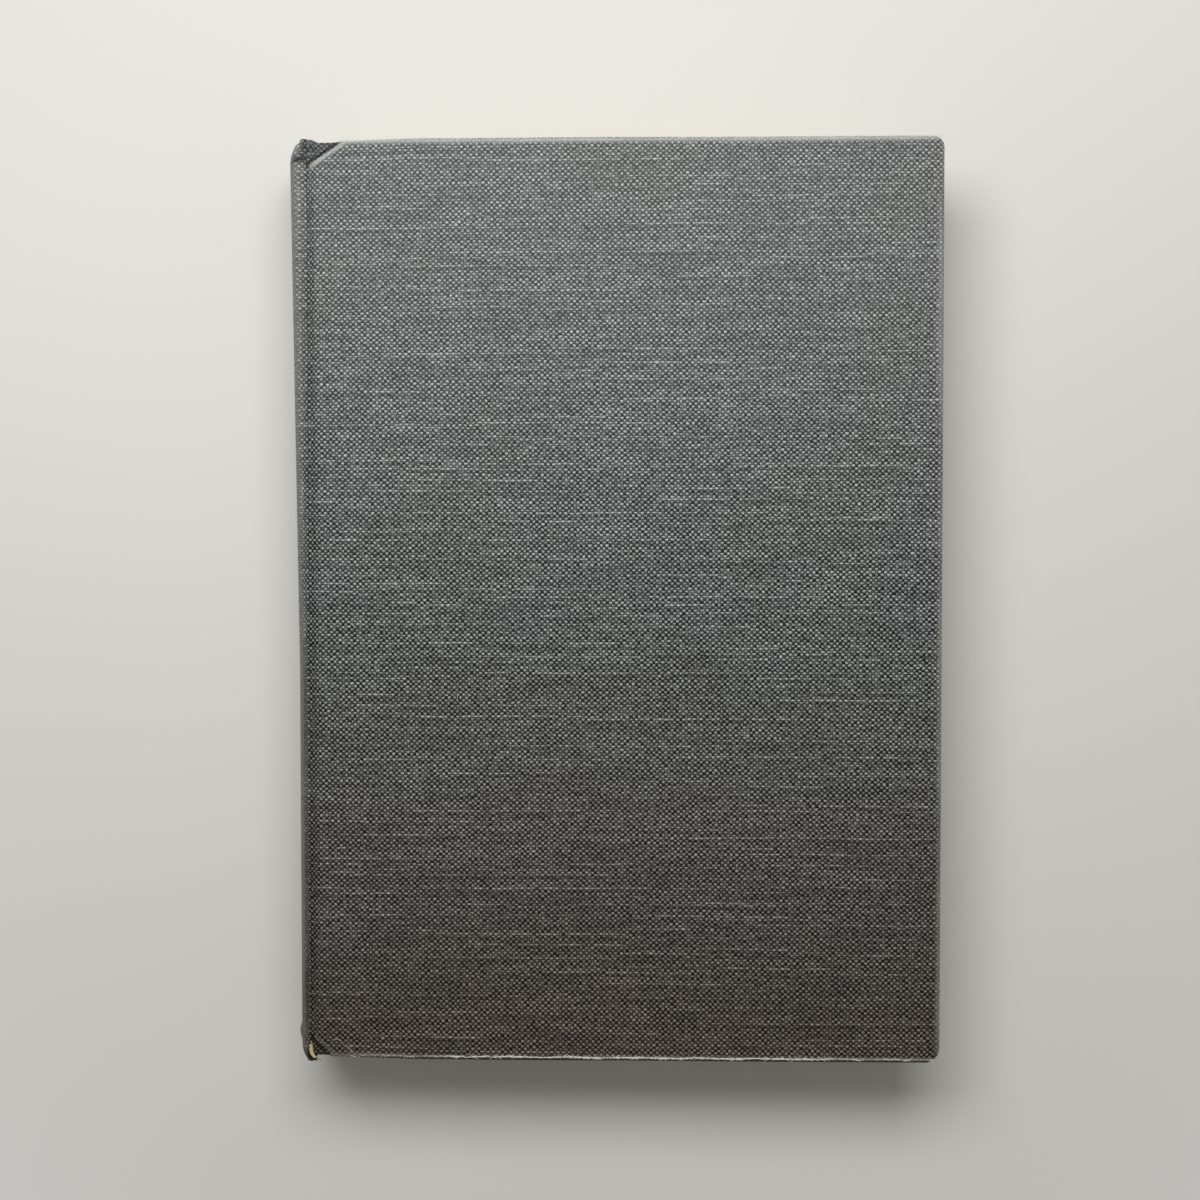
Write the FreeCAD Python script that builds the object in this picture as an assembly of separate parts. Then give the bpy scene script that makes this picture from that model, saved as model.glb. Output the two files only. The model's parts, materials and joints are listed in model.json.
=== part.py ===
"""A case-bound hardback book lying closed on its back cover, front cover up, spine on the -X side.

The book is a rounded and lightly backed block of sewn pages inside a case: two boards and a card spine strip,
covered in one piece of linen book cloth. Head is +Y, tail is -Y, fore edge is +X, up is +Z.
The origin is at the centre of the footprint, on the table.
All sizes are millimetres.
"""
import FreeCAD
import Part
import math
import os

from FreeCAD import Vector

# Whole book
cover_height = 210.0  # head to tail, over the cloth
cover_width = 143.0  # joint edge to fore edge of a cover, over the cloth
book_thickness = 28.0  # closed, over both covers
square = 3.0  # how far a cover stands past the pages at head, tail and fore edge

# Sheets and boards
board_thickness = 2.4
cloth_thickness = 0.4
endpaper_thickness = 0.2
mull_thickness = 0.25
lining_thickness = 0.2
inlay_thickness = 0.8
hollow_gap = 1.2  # between the spine strip and the lined spine of the pages
turn_in = 15.0  # cloth folded over onto the inside of the case
mull_flap_width = 25.0  # mull glued on the inside of a board
mull_setback = 10.0  # how far the mull stops short of the pages at head and tail
lining_setback = 1.0

# Spine and joints
spine_round = 2.6  # how far the spine bulges past its ridges
ridge_setback = 1.0  # ridge of the spine to the hinge line
crest_drop = 0.8  # top of the ridge below the outside of the cover
hinge_rise = 0.9  # hinge line above the inner face of the cover
hinge_to_cover = 2.7  # hinge line to the joint edge of the cover
joint_clearance = 0.3  # cloth in the joint to the cover
shoulder_rise = 0.4  # pages flared out by the backing
shoulder_slope = 0.6  # length of the slope from the shoulder down to the pages
shoulder_foot = 0.2  # foot of that slope to the joint edge of the cover
mull_lip = 0.3  # end of the mull to the cloth's end in the joint

# Edges and corners
cover_edge_radius = 0.8  # cloth over the long edges of a board
head_corner_radius = 1.4  # fore edge corners, seen from above
tail_corner_radius = 2.5
crest_radius = 0.3

# Wear on the front cover's joint corners and on the tail of the spine
head_crush_along = 6.9
head_crush_down = 4.6
tail_crush_along = 3.4
tail_crush_down = 3.2
tear_length = 3.4
tear_width = 2.6

# Headbands and sewing
band_height = 1.6
band_depth = 1.4
band_edge_radius = 0.4
thread_width = 0.5
thread_depth = 0.35
thread_end = 0.7  # thread stops short of the shoulders
kettle_inset = 17.0  # outermost stitches to the ends of the pages
stitch_count = 6

# Working values of the construction
overshoot = 1.0  # how far a cutter runs past what it cuts
tiny = 1e-6  # two heights closer than this are the same

# Places worked out from the sizes above
cover_stack = endpaper_thickness + board_thickness + cloth_thickness
overall_width = spine_round + ridge_setback + hinge_to_cover + cover_width
middle_z = book_thickness / 2
inner_z = book_thickness - cover_stack
fore_x = overall_width / 2
cover_x = fore_x - cover_width
hinge_x = cover_x - hinge_to_cover
ridge_x = hinge_x - ridge_setback
spine_x = ridge_x - spine_round
half_height = cover_height / 2
pages_half = half_height - square
crest_z = book_thickness - crest_drop
inlay_top = crest_z - cloth_thickness
joint_end_x = cover_x - joint_clearance

# The spine is an arc through both ridges, and every layer of it is concentric
half_chord = inlay_top - middle_z
spine_radius = (half_chord**2 + spine_round**2) / (2 * spine_round)
arc_x = spine_x + spine_radius
inlay_outer = spine_radius - cloth_thickness
inlay_inner = inlay_outer - inlay_thickness
lining_outer = inlay_inner - hollow_gap
mull_outer = lining_outer - lining_thickness
pages_radius = mull_outer - mull_thickness

# Heights of the layers in the joint, above the inner face of the cover
flyleaf_top = shoulder_rise
mull_top = flyleaf_top + mull_thickness


def block(x0, x1, y0, y1, z0, z1):
    """A box between two corners."""
    return Part.makeBox(x1 - x0, y1 - y0, z1 - z0, Vector(x0, y0, z0))


def prism(points, y0, y1):
    """An outline of (x, z) points pushed along Y."""
    corners = [Vector(x, y0, z) for x, z in points]
    face = Part.Face(Part.makePolygon(corners + corners[:1]))
    return face.extrude(Vector(0, y1 - y0, 0))


def arc_at(radius, height):
    """The x of a spine arc at a height above the middle of the book."""
    return arc_x - math.sqrt(radius**2 - height**2)


def spine_band(outer, inner, height, y0, y1):
    """A curved strip of the spine between two radii, reaching a height above and below the middle."""
    along = Vector(0, 1, 0)
    start = Vector(arc_x, y0, middle_z)
    tube = Part.makeCylinder(outer, y1 - y0, start, along)
    ring = tube.cut(Part.makeCylinder(inner, y1 - y0, start, along))
    left = arc_x - outer - overshoot
    return ring.common(block(left, arc_x, y0, y1, middle_z - height, middle_z + height))


def one(*shapes):
    """Several touching shapes as one solid."""
    joined = shapes[0].multiFuse(list(shapes[1:])) if len(shapes) > 1 else shapes[0]
    return joined.removeSplitter()


def mirrored(shape):
    """The same shape on the other side of the middle of the book."""
    return shape.mirror(Vector(0, 0, middle_z), Vector(0, 0, 1))


def both_sides(shape):
    return [shape, mirrored(shape)]


def cover_outline(head_crush, tail_crush, inset):
    """The outline of a cover from above, its joint corners cut off and its fore edge corners rounded."""
    left, right = cover_x + inset, fore_x - inset
    top, bottom = half_height - inset, inset - half_height
    head_r, tail_r = head_corner_radius - inset, tail_corner_radius - inset
    diagonal = math.sqrt(0.5)
    head_mid = Vector(right - head_r * (1 - diagonal), top - head_r * (1 - diagonal), 0)
    tail_mid = Vector(right - tail_r * (1 - diagonal), bottom + tail_r * (1 - diagonal), 0)
    head_on = Vector(right - head_r, top, 0)
    head_off = Vector(right, top - head_r, 0)
    tail_on = Vector(right, bottom + tail_r, 0)
    tail_off = Vector(right - tail_r, bottom, 0)
    joint_points = [tail_off]
    if tail_crush:
        joint_points += [Vector(left + tail_crush[0], bottom, 0), Vector(left, bottom + tail_crush[1], 0)]
    else:
        joint_points += [Vector(left, bottom, 0)]
    if head_crush:
        joint_points += [Vector(left, top - head_crush[1], 0), Vector(left + head_crush[0], top, 0)]
    else:
        joint_points += [Vector(left, top, 0)]
    joint_points += [head_on]
    edges = [Part.LineSegment(a, b).toShape() for a, b in zip(joint_points, joint_points[1:])]
    edges += [
        Part.Arc(head_on, head_mid, head_off).toShape(),
        Part.LineSegment(head_off, tail_on).toShape(),
        Part.Arc(tail_on, tail_mid, tail_off).toShape(),
    ]
    return Part.Face(Part.Wire(edges))


def slab(outline, z0, z1):
    """An outline seen from above, made thick."""
    raised = outline.copy()
    raised.translate(Vector(0, 0, z0))
    return raised.extrude(Vector(0, 0, z1 - z0))


def edges_at(solid, direction, place):
    """The edges that lie wholly at one place along a direction."""
    return [e for e in solid.Edges if all(abs(v.Point.dot(direction) - place) < tiny for v in e.Vertexes)]


def rounded_rim(solid, z, radius):
    """The solid with every edge that lies at height z rounded."""
    return solid.makeFillet(radius, edges_at(solid, Vector(0, 0, 1), z))


def cover_turn_ins():
    """Where the cloth lies on the inside of a board: along head, tail and fore edge."""
    z0 = inner_z + endpaper_thickness
    z1 = z0 + cloth_thickness
    inside = block(
        cover_x - overshoot,
        fore_x - turn_in,
        turn_in - half_height,
        half_height - turn_in,
        z0 - overshoot,
        z1 + overshoot,
    )
    return block(cover_x, fore_x, -half_height, half_height, z0, z1).cut(inside)


def mull_flap():
    """The end of the mull, glued on the inside of a board under the pastedown."""
    x0 = cover_x + cloth_thickness
    reach = min(pages_half - mull_setback, half_height - turn_in)
    z0 = inner_z + endpaper_thickness
    return block(x0, x0 + mull_flap_width, -reach, reach, z0, z0 + mull_thickness)


def board_blank(head_crush, tail_crush):
    """A board before its inside is pressed."""
    outline = cover_outline(head_crush, tail_crush, cloth_thickness)
    top = inner_z + endpaper_thickness + board_thickness
    solid = slab(outline, inner_z + endpaper_thickness, top)
    return rounded_rim(solid, top, cover_edge_radius - cloth_thickness)


def board(head_crush=None, tail_crush=None):
    """A board, with the turned-in cloth and the mull pressed into its inside."""
    return board_blank(head_crush, tail_crush).cut(cover_turn_ins()).cut(mull_flap()).removeSplitter()


def corner_flaps(outline):
    """Cloth that has sunk beside a crushed joint corner, folded double at the level of the joint."""
    z0 = inner_z + endpaper_thickness + cloth_thickness
    z1 = z0 + 2 * cloth_thickness
    joint_half = block(cover_x, cover_x + cover_width / 2, -half_height, half_height, z0, z1)
    return joint_half.cut(slab(outline, z0, z1))


def cover_cloth(head_crush=None, tail_crush=None):
    """The cloth round one board: over its outside, round all four edges and turned in on three."""
    outline = cover_outline(head_crush, tail_crush, 0)
    z0 = inner_z + endpaper_thickness
    skin = rounded_rim(slab(outline, z0, book_thickness), book_thickness, cover_edge_radius)
    open_inside = block(
        cover_x + cloth_thickness,
        fore_x - turn_in,
        turn_in - half_height,
        half_height - turn_in,
        z0 - overshoot,
        z0 + cloth_thickness,
    )
    hollow = board_blank(head_crush, tail_crush).cut(cover_turn_ins())
    cloth = skin.cut(hollow).cut(open_inside)
    if not head_crush and not tail_crush:
        return one(cloth)
    return one(cloth, corner_flaps(outline))


def pastedown():
    """The half of the endpaper that is glued on the inside of a cover."""
    return block(cover_x, fore_x - square, -pages_half, pages_half, inner_z, inner_z + endpaper_thickness)


def shoulder_profile(lift, end_x):
    """The top of the pages from the shoulder to end_x, lifted by a sheet's thickness, as (x, z) points."""
    top = inner_z - endpaper_thickness + lift
    foot_x = cover_x - shoulder_foot
    tip_x = arc_at(pages_radius, top + shoulder_rise - middle_z)
    return [
        (tip_x, top + shoulder_rise),
        (foot_x - shoulder_slope, top + shoulder_rise),
        (foot_x, top),
        (end_x, top),
    ]


def flyleaf():
    """The free half of the endpaper, lying on the pages."""
    end_x = fore_x - square
    lower = shoulder_profile(0, end_x)
    upper = shoulder_profile(endpaper_thickness, end_x)
    return prism(lower + upper[::-1], -pages_half, pages_half)


def pages():
    """The sewn pages as one solid: round at the spine, hollow by the same arc at the fore edge."""
    fore_corner_x = fore_x - square
    upper = shoulder_profile(0, fore_corner_x)
    half_pages = upper[-1][1] - middle_z
    tip_x, tip_z = upper[0]
    lower = [(x, 2 * middle_z - z) for x, z in upper]
    page_width = fore_corner_x - arc_at(pages_radius, half_pages)
    points = [Vector(x, -pages_half, z) for x, z in upper + lower[::-1]]
    hollow_mid = Vector(arc_x - pages_radius + page_width, -pages_half, middle_z)
    spine_mid = Vector(arc_x - pages_radius, -pages_half, middle_z)
    count = len(upper)
    edges = [Part.LineSegment(a, b).toShape() for a, b in zip(points[: count - 1], points[1:count])]
    edges.append(Part.Arc(points[count - 1], hollow_mid, points[count]).toShape())
    edges += [Part.LineSegment(a, b).toShape() for a, b in zip(points[count:-1], points[count + 1 :])]
    edges.append(Part.Arc(points[-1], spine_mid, points[0]).toShape())
    solid = Part.Face(Part.Wire(edges)).extrude(Vector(0, 2 * pages_half, 0))
    return solid.cut(Part.makeCompound(stitches()))


def stitches():
    """Sewing thread across the folds of the sections, one solid at each stitch."""
    height = inner_z - endpaper_thickness + shoulder_rise - middle_z - thread_end
    first = kettle_inset - pages_half
    step = (2 * pages_half - 2 * kettle_inset) / (stitch_count - 1)
    starts = [first + step * i - thread_width / 2 for i in range(stitch_count)]
    inner = pages_radius - thread_depth
    return [spine_band(pages_radius, inner, height, y, y + thread_width) for y in starts]


def spine_mull():
    """Open-weave cotton glued over the rounded spine, and lapped on both shoulders."""
    reach = pages_half - mull_setback
    top = inner_z + mull_top
    lip_x = arc_at(pages_radius, inner_z + flyleaf_top - middle_z)
    lip = block(lip_x, joint_end_x - mull_lip, -reach, reach, inner_z + flyleaf_top, top)
    return one(spine_band(mull_outer, pages_radius, top - middle_z, -reach, reach), *both_sides(lip))


def spine_lining():
    """Brown paper glued over the mull."""
    reach = pages_half - lining_setback
    return spine_band(lining_outer, mull_outer, inner_z - middle_z, -reach, reach)


def headband():
    """A corded band on the head of the pages, inside the spine."""
    height = inner_z - endpaper_thickness - middle_z
    solid = spine_band(pages_radius, pages_radius - band_depth, height, pages_half, pages_half + band_height)
    top = edges_at(solid, Vector(0, 1, 0), pages_half + band_height)
    round_top = [e for e in top if isinstance(e.Curve, Part.Circle)]
    return solid.makeFillet(band_edge_radius, round_top)


def spine_inlay():
    """The card strip that stiffens the spine of the case."""
    reach = half_height - cloth_thickness
    return spine_band(inlay_outer, inlay_inner, inlay_top - middle_z, -reach, reach)


def joint_lip():
    """Cloth over the ridge of the spine, down behind it and along the floor of the joint."""
    outside_x = arc_at(spine_radius, crest_z - middle_z)
    inside_x = arc_at(inlay_inner, inlay_top - middle_z)
    floor = inner_z + mull_top
    cap = prism(
        [
            (outside_x, crest_z),
            (arc_at(spine_radius, inlay_top - middle_z), inlay_top),
            (inside_x, inlay_top),
            (inside_x, floor),
            (joint_end_x, floor),
            (joint_end_x, floor + cloth_thickness),
            (inside_x + cloth_thickness, floor + cloth_thickness),
            (inside_x + cloth_thickness, crest_z),
        ],
        -half_height,
        half_height,
    )
    crest = [e for e in edges_at(cap, Vector(0, 0, 1), crest_z) if e.Length > cover_width]
    return cap.makeFillet(crest_radius, crest)


def tail_tear():
    """The bite that wear has taken from the cloth at the tail of the front ridge."""
    tail = -half_height
    points = [
        Vector(ridge_x - tear_width / 2, tail - overshoot, middle_z),
        Vector(ridge_x + tear_width / 2, tail - overshoot, middle_z),
        Vector(ridge_x + tear_width / 2, tail + tear_length / 2, middle_z),
        Vector(ridge_x, tail + tear_length, middle_z),
    ]
    return Part.Face(Part.makePolygon(points + points[:1])).extrude(Vector(0, 0, book_thickness))


def spine_cloth():
    """The cloth of the spine between both covers, turned in at head and tail over the card strip."""
    height = inlay_top - middle_z
    fold = half_height - cloth_thickness
    layers = [spine_band(spine_radius, inlay_outer, height, -half_height, half_height)]
    layers += both_sides(joint_lip())
    for y0, y1 in ((fold, half_height), (-half_height, -fold)):
        layers.append(spine_band(inlay_outer, inlay_inner, height, y0, y1))
    for y0, y1 in ((half_height - turn_in, half_height), (-half_height, turn_in - half_height)):
        layers.append(spine_band(inlay_inner, inlay_inner - cloth_thickness, height, y0, y1))
    solid = one(*layers)
    return solid.cut(tail_tear()).removeSplitter()


def main():
    head_crush = (head_crush_along, head_crush_down)
    tail_crush = (tail_crush_along, tail_crush_down)
    head_band = headband()
    nodes = {
        "text_block": pages(),
        "sewing_thread": Part.makeCompound(stitches()),
        "front_flyleaf": flyleaf(),
        "back_flyleaf": mirrored(flyleaf()),
        "spine_mull": spine_mull(),
        "spine_lining": spine_lining(),
        "head_band": head_band,
        "tail_band": head_band.mirror(Vector(0, 0, 0), Vector(0, 1, 0)),
        "spine_inlay": spine_inlay(),
        "spine_cloth": spine_cloth(),
        "front_board": board(head_crush, tail_crush),
        "front_cover_cloth": cover_cloth(head_crush, tail_crush),
        "front_pastedown": pastedown(),
        "front_mull_flap": mull_flap(),
        "back_board": mirrored(board()),
        "back_cover_cloth": mirrored(cover_cloth()),
        "back_pastedown": mirrored(pastedown()),
        "back_mull_flap": mirrored(mull_flap()),
    }
    os.makedirs("parts", exist_ok=True)
    for name, shape in nodes.items():
        shape.exportStep(f"parts/{name}.step")
        print(f"{name}: {len(shape.Solids)} solid, {shape.Volume / 1000:.3f} cm3, valid {shape.isValid()}")


main()
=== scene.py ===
import json
import math
from contextlib import contextmanager

import bpy
import numpy as np
from mathutils import Euler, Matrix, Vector


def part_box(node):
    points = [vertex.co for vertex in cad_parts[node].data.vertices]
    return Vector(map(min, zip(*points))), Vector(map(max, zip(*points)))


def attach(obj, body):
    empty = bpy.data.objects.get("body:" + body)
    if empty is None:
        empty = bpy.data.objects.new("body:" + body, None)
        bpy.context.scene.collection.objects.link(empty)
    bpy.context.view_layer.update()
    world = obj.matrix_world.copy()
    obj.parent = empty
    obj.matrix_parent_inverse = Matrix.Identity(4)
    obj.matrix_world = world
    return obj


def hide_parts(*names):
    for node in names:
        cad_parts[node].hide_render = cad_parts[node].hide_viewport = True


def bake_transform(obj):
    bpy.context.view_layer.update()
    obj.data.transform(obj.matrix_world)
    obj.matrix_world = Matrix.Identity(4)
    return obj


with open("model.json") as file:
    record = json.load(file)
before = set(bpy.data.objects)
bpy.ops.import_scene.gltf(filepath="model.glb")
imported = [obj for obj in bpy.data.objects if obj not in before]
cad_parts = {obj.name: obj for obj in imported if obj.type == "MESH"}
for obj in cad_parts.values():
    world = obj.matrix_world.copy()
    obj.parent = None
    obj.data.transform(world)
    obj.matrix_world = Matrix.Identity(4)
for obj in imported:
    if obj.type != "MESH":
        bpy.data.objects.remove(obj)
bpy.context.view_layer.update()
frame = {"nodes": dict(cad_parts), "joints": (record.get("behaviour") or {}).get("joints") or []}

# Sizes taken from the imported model
mm = 0.001
board_low, board_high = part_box("front_board")
cover_low, cover_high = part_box("front_cover_cloth")
pages_low, pages_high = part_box("text_block")
spine_low, spine_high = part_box("spine_cloth")
card_low, card_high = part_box("spine_inlay")
hinge = next(joint for joint in frame["joints"] if joint["name"] == "front_hinge")["pos_m"]
hinge_x, hinge_z = hinge[0], hinge[2]
top_z = cover_high.z
middle_z = top_z / 2
under_z = cover_low.z
cover_x, fore_x = cover_low.x, cover_high.x
head_y, tail_y = cover_high.y, cover_low.y
cloth = cover_high.z - board_high.z
spine_round = 2.6 * mm
ridge_x = spine_low.x + spine_round
ridge_z = spine_high.z
card_thickness = 0.8 * mm
half_chord = card_high.z - middle_z
spine_radius = (half_chord**2 + spine_round**2) / (2 * spine_round)
arc_x = spine_low.x + spine_radius

# The cloth: plain weave, turned in round the boards
warp_pitch = 0.67 * mm
weft_pitch = 0.62 * mm
turn_in = 15 * mm
edge_radius = 0.8 * mm
fold_radius = 0.45 * mm
relief = 0.05 * mm
slub_rise = 0.012 * mm
cover_slubs, spine_slubs = 280, 90
ridge_steps = 8

# Rows of weft that the three pieces of cloth share
sheet_rows = int(round((head_y - tail_y - 2 * edge_radius) / weft_pitch)) + 1
row_places = np.linspace(tail_y + edge_radius, head_y - edge_radius, sheet_rows)

# The joint, where the cloth bends, and the endpaper's fold in it
joint_border_x = hinge_x + 0.75 * mm
joint_border_z = 26.6 * mm
joint_lap = 0.35 * mm
joint_inside_z = 25.55 * mm
joint_slope = 1 * mm
bend_start_x = hinge_x + 0.8 * mm
bend_end_x = hinge_x + 2.7 * mm
face_start_x = cover_x + 1.2 * mm
paper_fold_x = hinge_x + 1.6 * mm
paper_fold_z = 25.42 * mm
pastedown_middle_z = 25.1 * mm
paper_thickness = 0.16 * mm

# The cloth laid flat, with its edges and turn-ins
flat_length = head_y - tail_y + 2 * (top_z - under_z + turn_in)
cover_flat = (fore_x - joint_border_x + joint_slope + top_z - under_z + turn_in, flat_length)

# Shape of the cover: its corners at the fore edge, and how far its edges swell out at head and tail
head_corner = 1.7 * mm
tail_corner = 2.6 * mm
head_swell = 0.3 * mm
tail_swell = 0.5 * mm

# How the spine leans: further left toward the head, and evenly to the right below this level
lean = 1 * mm
lean_slope = 0.0135
lean_from_y = -15 * mm

# The damage. A crushed corner has its length along the edge and its depth.
flap_z = 26.35 * mm
fold_z = 27.2 * mm
head_crush = (6.9 * mm, 4.6 * mm)
tail_crush = (3.4 * mm, 3.2 * mm)
tear_line = np.array(((-102.2, -70.4), (-103.5, -69.9), (-104.6, -69.5), (-105.5, -69.0))) * mm
tear_width = 0.8 * mm
tear_low_z = 25.4 * mm
droop = 1.2 * mm
head_dent = 2.4 * mm
tail_dent = 1.8 * mm
tail_bulge = 0.45 * mm
cap_rise = 0.5 * mm
cap_push_on_cover, cap_push_on_spine = 1.2, 0.35
cap_slip = 0.9 * mm
cap_sinking = 0.55 * mm
crack_depth = 0.45 * mm

# The silk of the headbands
band_silk = 0.24 * mm
band_loop = 0.4 * mm

# The fibres at the rubbed edges and on the face
tail_fibres, head_fibres, lint_fibres = 620, 1000, 90

# The loose threads at the tail, in millimetres: where they start and how far they reach sideways, out and
# down, each from least to most, and where the two grey ones start and end
torn_place = ((-71.2, -68.9), (-106.1, -105.5), (24.5, 26.2))
torn_hang = ((-0.5, 0.9), (0.2, 0.9), (0.6, 2.2))
grey_threads = (((-65.1, -101.1), (-62.6, -101.2)), ((-62.4, -102.1), (-59.6, -104.2)))

# Pixels of the photograph along the crack in the cap at the head and along its branch
crack_pixels = ((291.6, 159.5), (305, 157), (313.6, 155.4))
branch_pixels = ((304, 153), (309.5, 148))

# The photograph's camera, fitted to the four corners of the cover
photo_side = 1200
photo_angle = math.radians(34)
camera_place = Vector((10.92, 17.06, 474.6)) * mm
camera_turn = Euler([math.radians(a) for a in (-2.111, 1.781, -0.03)])


def photo_point(across, down, height):
    """Where a pixel of the photograph lies on a level at that height."""
    distance = photo_side / 2 / math.tan(photo_angle / 2)
    ray = Vector((across - photo_side / 2, photo_side / 2 - down, -distance))
    ray.rotate(camera_turn)
    place = camera_place + ray * ((height - camera_place.z) / ray.z)
    return place.x, place.y


def smooth(value, start=0.0, end=1.0):
    """0 before start, 1 after end and an even step between them."""
    share = np.clip((value - start) / (end - start), 0, 1)
    return share * share * (3 - 2 * share)


def bump_at(value, centre, width):
    """1 at the centre, fading to 0 past the width."""
    return np.exp(-(((value - centre) / width) ** 2))


def drift(a, b, seed, longest):
    """A gentle wandering between -1 and 1 over two directions, the same each run."""
    chance = np.random.default_rng(seed)
    total = 0
    for wave in range(5):
        size = longest * 0.62**wave
        turn = chance.uniform(0, 2 * math.pi)
        start = chance.uniform(0, 2 * math.pi)
        way = a * math.cos(turn) + b * math.sin(turn)
        total = total + np.sin(2 * math.pi * way / size + start) * 0.7**wave
    return total / 2.2


# Small helpers for meshes


def deselect_all():
    if bpy.context.object and bpy.context.object.mode != "OBJECT":
        bpy.ops.object.mode_set(mode="OBJECT")
    bpy.ops.object.select_all(action="DESELECT")


def added(name, command, **settings):
    """The shape that one of Blender's own commands adds."""
    deselect_all()
    command(**settings)
    piece = bpy.context.object
    piece.name = name
    return piece


def take(piece):
    """Makes a piece the only one that is selected and active."""
    deselect_all()
    piece.select_set(True)
    bpy.context.view_layer.objects.active = piece


@contextmanager
def editing(piece):
    """Edit mode on one piece, with what is selected in it."""
    take(piece)
    bpy.ops.object.mode_set(mode="EDIT")
    yield
    bpy.ops.object.mode_set(mode="OBJECT")


def read_all(items, field, width=1, kind=float):
    """One field of all vertices, edges or faces, in rows of this width."""
    values = np.empty(len(items) * width, kind)
    items.foreach_get(field, values)
    return values.reshape(-1, width) if width > 1 else values


def points_of(piece):
    return read_all(piece.data.vertices, "co", 3)


def place_points(piece, points):
    piece.data.vertices.foreach_set("co", np.ascontiguousarray(points, dtype=np.float32).ravel())
    piece.data.update()


def numbers_of(piece, name):
    return read_all(piece.data.attributes[name].data, "value", kind=np.float32)


def give_numbers(piece, name, values):
    """A number at each vertex, which the finish reads."""
    layer = piece.data.attributes.get(name) or piece.data.attributes.new(name, "FLOAT", "POINT")
    layer.data.foreach_set("value", np.asarray(values, np.float32))


def chosen(piece):
    """Which vertices are selected."""
    return read_all(piece.data.vertices, "select", kind=bool)


def choose(piece, edges=None, faces=None):
    """Selects these edges or faces of a piece and nothing else."""
    mesh = piece.data
    bpy.context.tool_settings.mesh_select_mode = (False, edges is not None, faces is not None)
    for items, marks in ((mesh.vertices, None), (mesh.edges, edges), (mesh.polygons, faces)):
        none = np.zeros(len(items), bool)
        items.foreach_set("select", none if marks is None else marks)


def face_centres(piece):
    return read_all(piece.data.polygons, "center", 3)


def apply_modifier(piece, kind, **settings):
    take(piece)
    modifier = piece.modifiers.new(kind.lower(), kind)
    for name, value in settings.items():
        setattr(modifier, name, value)
    bpy.ops.object.modifier_apply(modifier=modifier.name)


def smooth_shaded(piece):
    take(piece)
    bpy.ops.object.shade_smooth_by_angle(angle=math.radians(50))


def settle_place(piece):
    """Puts the object at the origin, with its place in its mesh."""
    take(piece)
    bpy.ops.object.transform_apply(location=True, rotation=True, scale=True)


def outward(piece):
    """Turns all faces of a closed piece outwards."""
    with editing(piece):
        bpy.ops.mesh.select_all(action="SELECT")
        bpy.ops.mesh.normals_make_consistent(inside=False)


# The woven cloth


def woven_sheet(name, places, fields):
    """A grid with a vertex at each of these places and its numbers, and the vertices by row and column."""
    rows, columns, _ = places.shape
    grid = bpy.ops.mesh.primitive_grid_add
    piece = added(name, grid, x_subdivisions=columns - 1, y_subdivisions=rows - 1, size=2)
    at = points_of(piece)
    index = np.lexsort((at[:, 0].round(6), at[:, 1].round(6))).reshape(rows, columns)
    at[index] = places
    place_points(piece, at)
    values = np.empty(len(at))
    for label, field in fields.items():
        values[index] = field
        give_numbers(piece, label, values)
    return piece, index


def extrude_along(piece, pairs):
    """Extrudes the chain of edges that joins these pairs of vertices, and leaves the new ones selected."""
    ends = np.sort(read_all(piece.data.edges, "vertices", 2, np.int64), axis=1)
    size = len(piece.data.vertices)
    wanted = np.sort(pairs, axis=1)
    marks = np.isin(ends[:, 0] * size + ends[:, 1], wanted[:, 0] * size + wanted[:, 1])
    choose(piece, edges=marks)
    with editing(piece):
        bpy.ops.mesh.extrude_region_move()


def fold_rings(depth):
    """The way round an edge of this depth, from the face to the end of the turn-in: (inset, drop) pairs."""
    steps = 4
    ring = []
    for step in range(1, steps + 1):
        turn = math.pi / 2 * step / steps
        ring.append((edge_radius * (1 - math.sin(turn)), edge_radius * (1 - math.cos(turn))))
    ring.append((0.0, (edge_radius + depth - fold_radius) / 2))
    for step in range(3):
        turn = math.pi / 2 * step / 2
        ring.append((fold_radius * (1 - math.cos(turn)), depth - fold_radius * (1 - math.sin(turn))))
    ring += [(3 * mm, depth), (turn_in, depth)]
    return ring


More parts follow.
